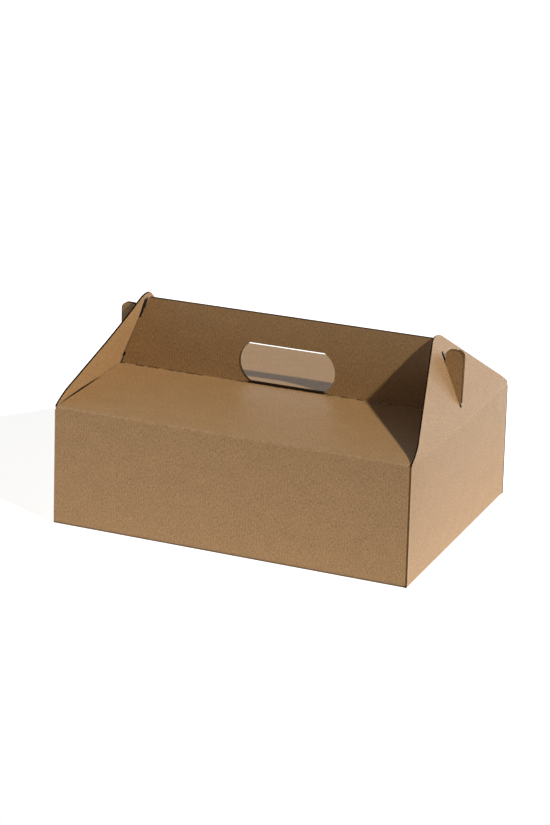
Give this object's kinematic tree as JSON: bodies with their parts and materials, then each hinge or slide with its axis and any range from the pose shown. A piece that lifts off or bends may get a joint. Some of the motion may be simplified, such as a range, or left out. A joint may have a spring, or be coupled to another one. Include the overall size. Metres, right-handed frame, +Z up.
{
  "type": "cardboard tray box",
  "caption": "Folded corrugated carry tray with closed lid panels, a double upright handle with a hand hole, and leaning gable flaps that lock over its hooked ends.",
  "frame": {"origin": "centre of the bottom panel's underside, which the box rests on", "axes": "+X along the handle towards the right gable, +Y from the front wall to the back wall, +Z up"},
  "size_m": [0.3346, 0.253, 0.181],
  "materials": {
    "kraft_board": "matt"
  },
  "bodies": {
    "tray": {"carton": "kraft_board"},
    "left_gable": {"left_gable": "kraft_board"},
    "right_gable": {"right_gable": "kraft_board"}
  },
  "joints": [
    {"name": "left_gable_hinge", "type": "hinge", "parent": "tray", "child": "left_gable", "pos_m": [-0.1673, 0, 0.108], "axis": [0, -1, 0], "range_deg": [0, 180]},
    {"name": "right_gable_hinge", "type": "hinge", "parent": "tray", "child": "right_gable", "pos_m": [0.1673, 0, 0.108], "axis": [0, 1, 0], "range_deg": [0, 180]}
  ]
}
